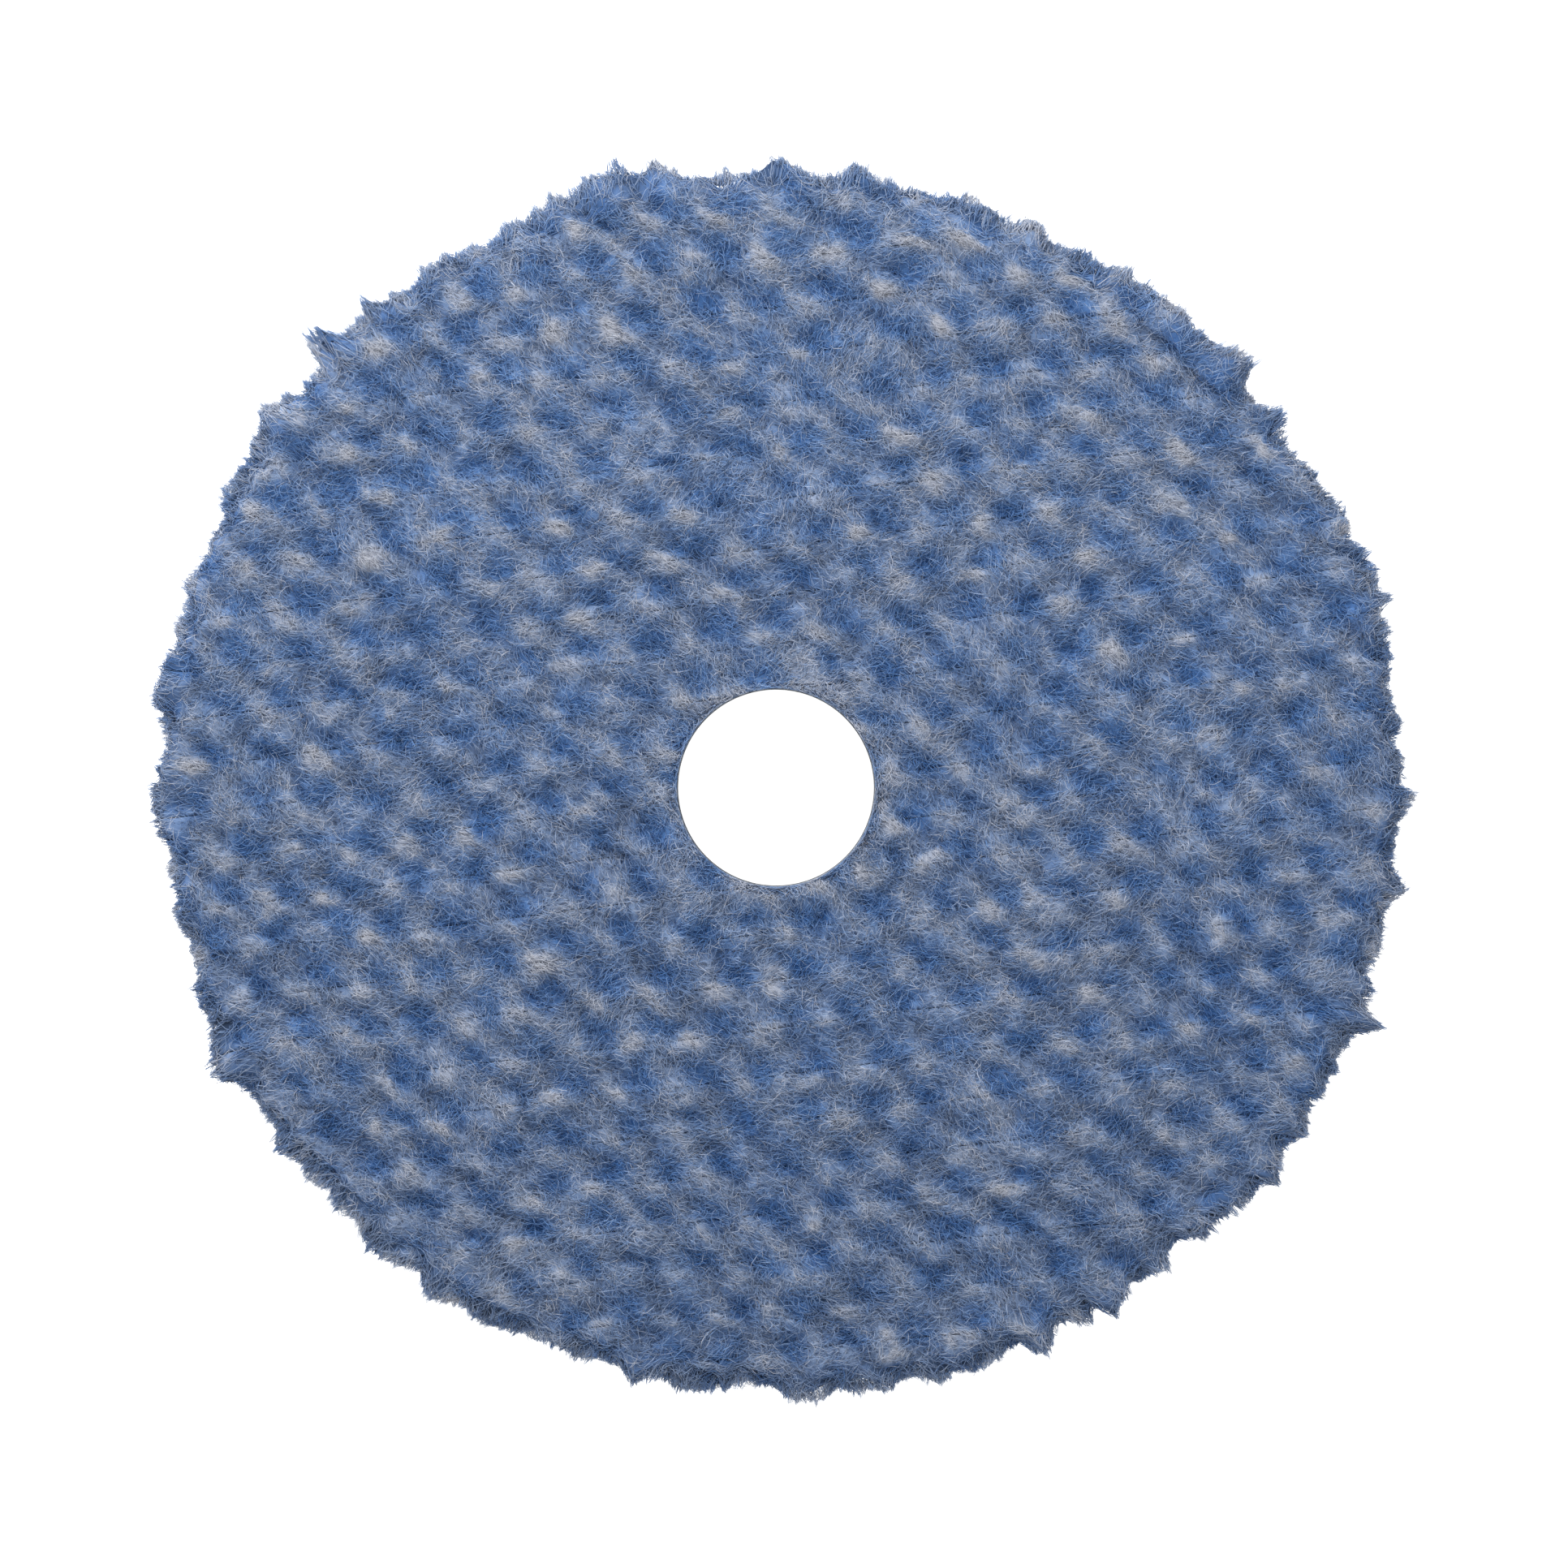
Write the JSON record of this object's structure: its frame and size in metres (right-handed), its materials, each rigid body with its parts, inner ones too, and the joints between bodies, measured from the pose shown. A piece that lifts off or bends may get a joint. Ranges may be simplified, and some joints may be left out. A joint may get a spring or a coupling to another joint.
{
  "type": "polishing pad",
  "caption": "Round polishing pad with a blue and grey knitted pile face, a foam interlayer, a loop-fastener back and a centre hole.",
  "frame": {"origin": "centre of the loop face, on the flat face that presses onto a backing plate", "axes": "+Z out through the pile and -Z out of the loop face; the courses of tufts run 7.4 degrees anticlockwise of +X, seen from above"},
  "size_m": [0.15, 0.15, 0.026],
  "materials": {
    "pile_yarn": "matte",
    "pile_cloth": "matte",
    "adhesive": "satin",
    "foam": "matte",
    "loop_cloth": "matte"
  },
  "bodies": {
    "root": {"backing_adhesive_film": "adhesive", "foam_interlayer": "foam", "loop_ground_cloth": "loop_cloth", "loop_pile": "loop_cloth", "pile_adhesive_film": "adhesive", "pile_course_01": "pile_yarn", "pile_course_02": "pile_yarn", "pile_course_03": "pile_yarn", "pile_course_04": "pile_yarn", "pile_course_05": "pile_yarn", "pile_course_06": "pile_yarn", "pile_course_07": "pile_yarn", "pile_course_08": "pile_yarn", "pile_course_09": "pile_yarn", "pile_course_10": "pile_yarn", "pile_course_11": "pile_yarn", "pile_course_12_left": "pile_yarn", "pile_course_12_right": "pile_yarn", "pile_course_13_left": "pile_yarn", "pile_course_13_right": "pile_yarn", "pile_course_14_left": "pile_yarn", "pile_course_14_right": "pile_yarn", "pile_course_15_left": "pile_yarn", "pile_course_15_right": "pile_yarn", "pile_course_16": "pile_yarn", "pile_course_17": "pile_yarn", "pile_course_18": "pile_yarn", "pile_course_19": "pile_yarn", "pile_course_20": "pile_yarn", "pile_course_21": "pile_yarn", "pile_course_22": "pile_yarn", "pile_course_23": "pile_yarn", "pile_course_24": "pile_yarn", "pile_course_25": "pile_yarn", "pile_course_26": "pile_yarn", "pile_ground_cloth": "pile_cloth"}
  },
  "joints": []
}
